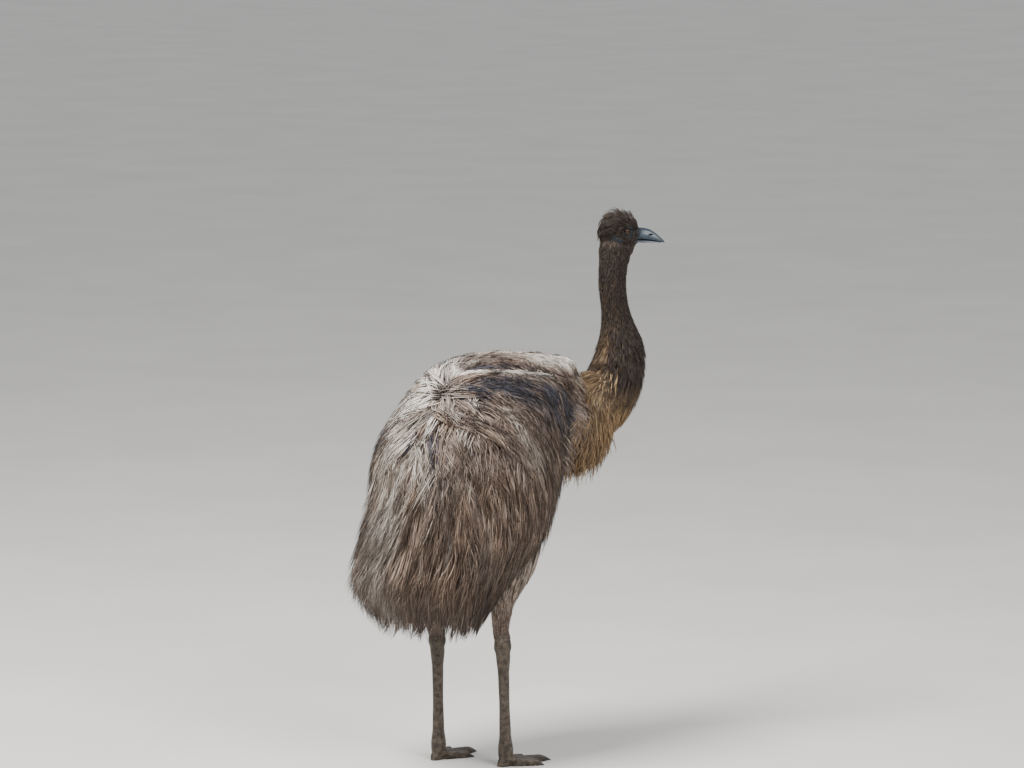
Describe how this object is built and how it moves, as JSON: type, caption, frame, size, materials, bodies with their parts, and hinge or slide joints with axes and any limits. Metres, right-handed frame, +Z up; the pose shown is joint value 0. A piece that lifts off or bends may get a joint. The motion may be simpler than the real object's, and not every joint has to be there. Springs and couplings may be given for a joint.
{
  "type": "standing emu, life-size still model",
  "caption": "Life-size standing emu as a still museum model: shaggy plumage parted along the back, upright neck, head turned to its right, bare scaled legs.",
  "frame": {"origin": "on the floor under the middle of the model's box", "axes": "+Z up, +X the way the body faces, +Y the bird's left"},
  "size_m": [1.0916, 0.5307, 1.6186],
  "materials": {
    "plumage": "shaggy grey-brown feather",
    "neck_plumage": "short dark hair-like feather",
    "face_skin": "thinly feathered slate skin",
    "bill_horn": "satin slate horn",
    "eye_gloss": "wet dark brown",
    "leg_scales": "dry scaled skin",
    "claw_horn": "worn dark horn"
  },
  "bodies": {
    "root": {"torso": "plumage", "rump": "plumage", "neck_base": "plumage", "neck": "neck_plumage", "head": "face_skin", "bill_upper": "bill_horn", "bill_lower": "bill_horn", "eye_left": "eye_gloss", "eye_right": "eye_gloss", "drumstick_right": "plumage", "drumstick_left": "plumage", "shank_right": "leg_scales", "shank_left": "leg_scales", "toe_inner_right": "leg_scales", "toe_middle_right": "leg_scales", "toe_outer_right": "leg_scales", "toe_inner_left": "leg_scales", "toe_middle_left": "leg_scales", "toe_outer_left": "leg_scales", "claw_inner_right": "claw_horn", "claw_middle_right": "claw_horn", "claw_outer_right": "claw_horn", "claw_inner_left": "claw_horn", "claw_middle_left": "claw_horn", "claw_outer_left": "claw_horn"}
  },
  "joints": []
}
